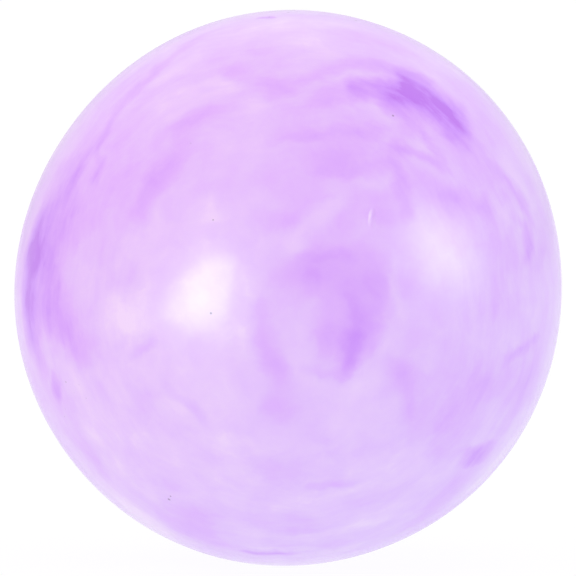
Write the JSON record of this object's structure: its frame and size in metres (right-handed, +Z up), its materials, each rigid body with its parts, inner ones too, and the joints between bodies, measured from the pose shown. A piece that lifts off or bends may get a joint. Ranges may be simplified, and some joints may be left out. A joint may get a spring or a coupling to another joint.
{
  "type": "juggling ball",
  "caption": "Hollow air-filled juggling ball of glossy marbled lilac vinyl, with a flush needle valve closed by a push-in plug.",
  "frame": {"origin": "centre of the ball", "axes": "+Y out along the valve's axis, +Z up, with the ball resting on its lowest point and the valve at the back"},
  "size_m": [0.1, 0.0998, 0.1],
  "materials": {
    "marbled_vinyl": "gloss",
    "valve_rubber": "satin",
    "plug_plastic": "satin"
  },
  "bodies": {
    "ball": {"shell": "marbled_vinyl", "valve_seat": "valve_rubber"},
    "plug": {"valve_plug": "plug_plastic"}
  },
  "joints": [
    {"name": "valve_plug_pull", "type": "slide", "parent": "ball", "child": "plug", "axis": [0, 1, 0], "range_m": [0, 0.045]}
  ]
}
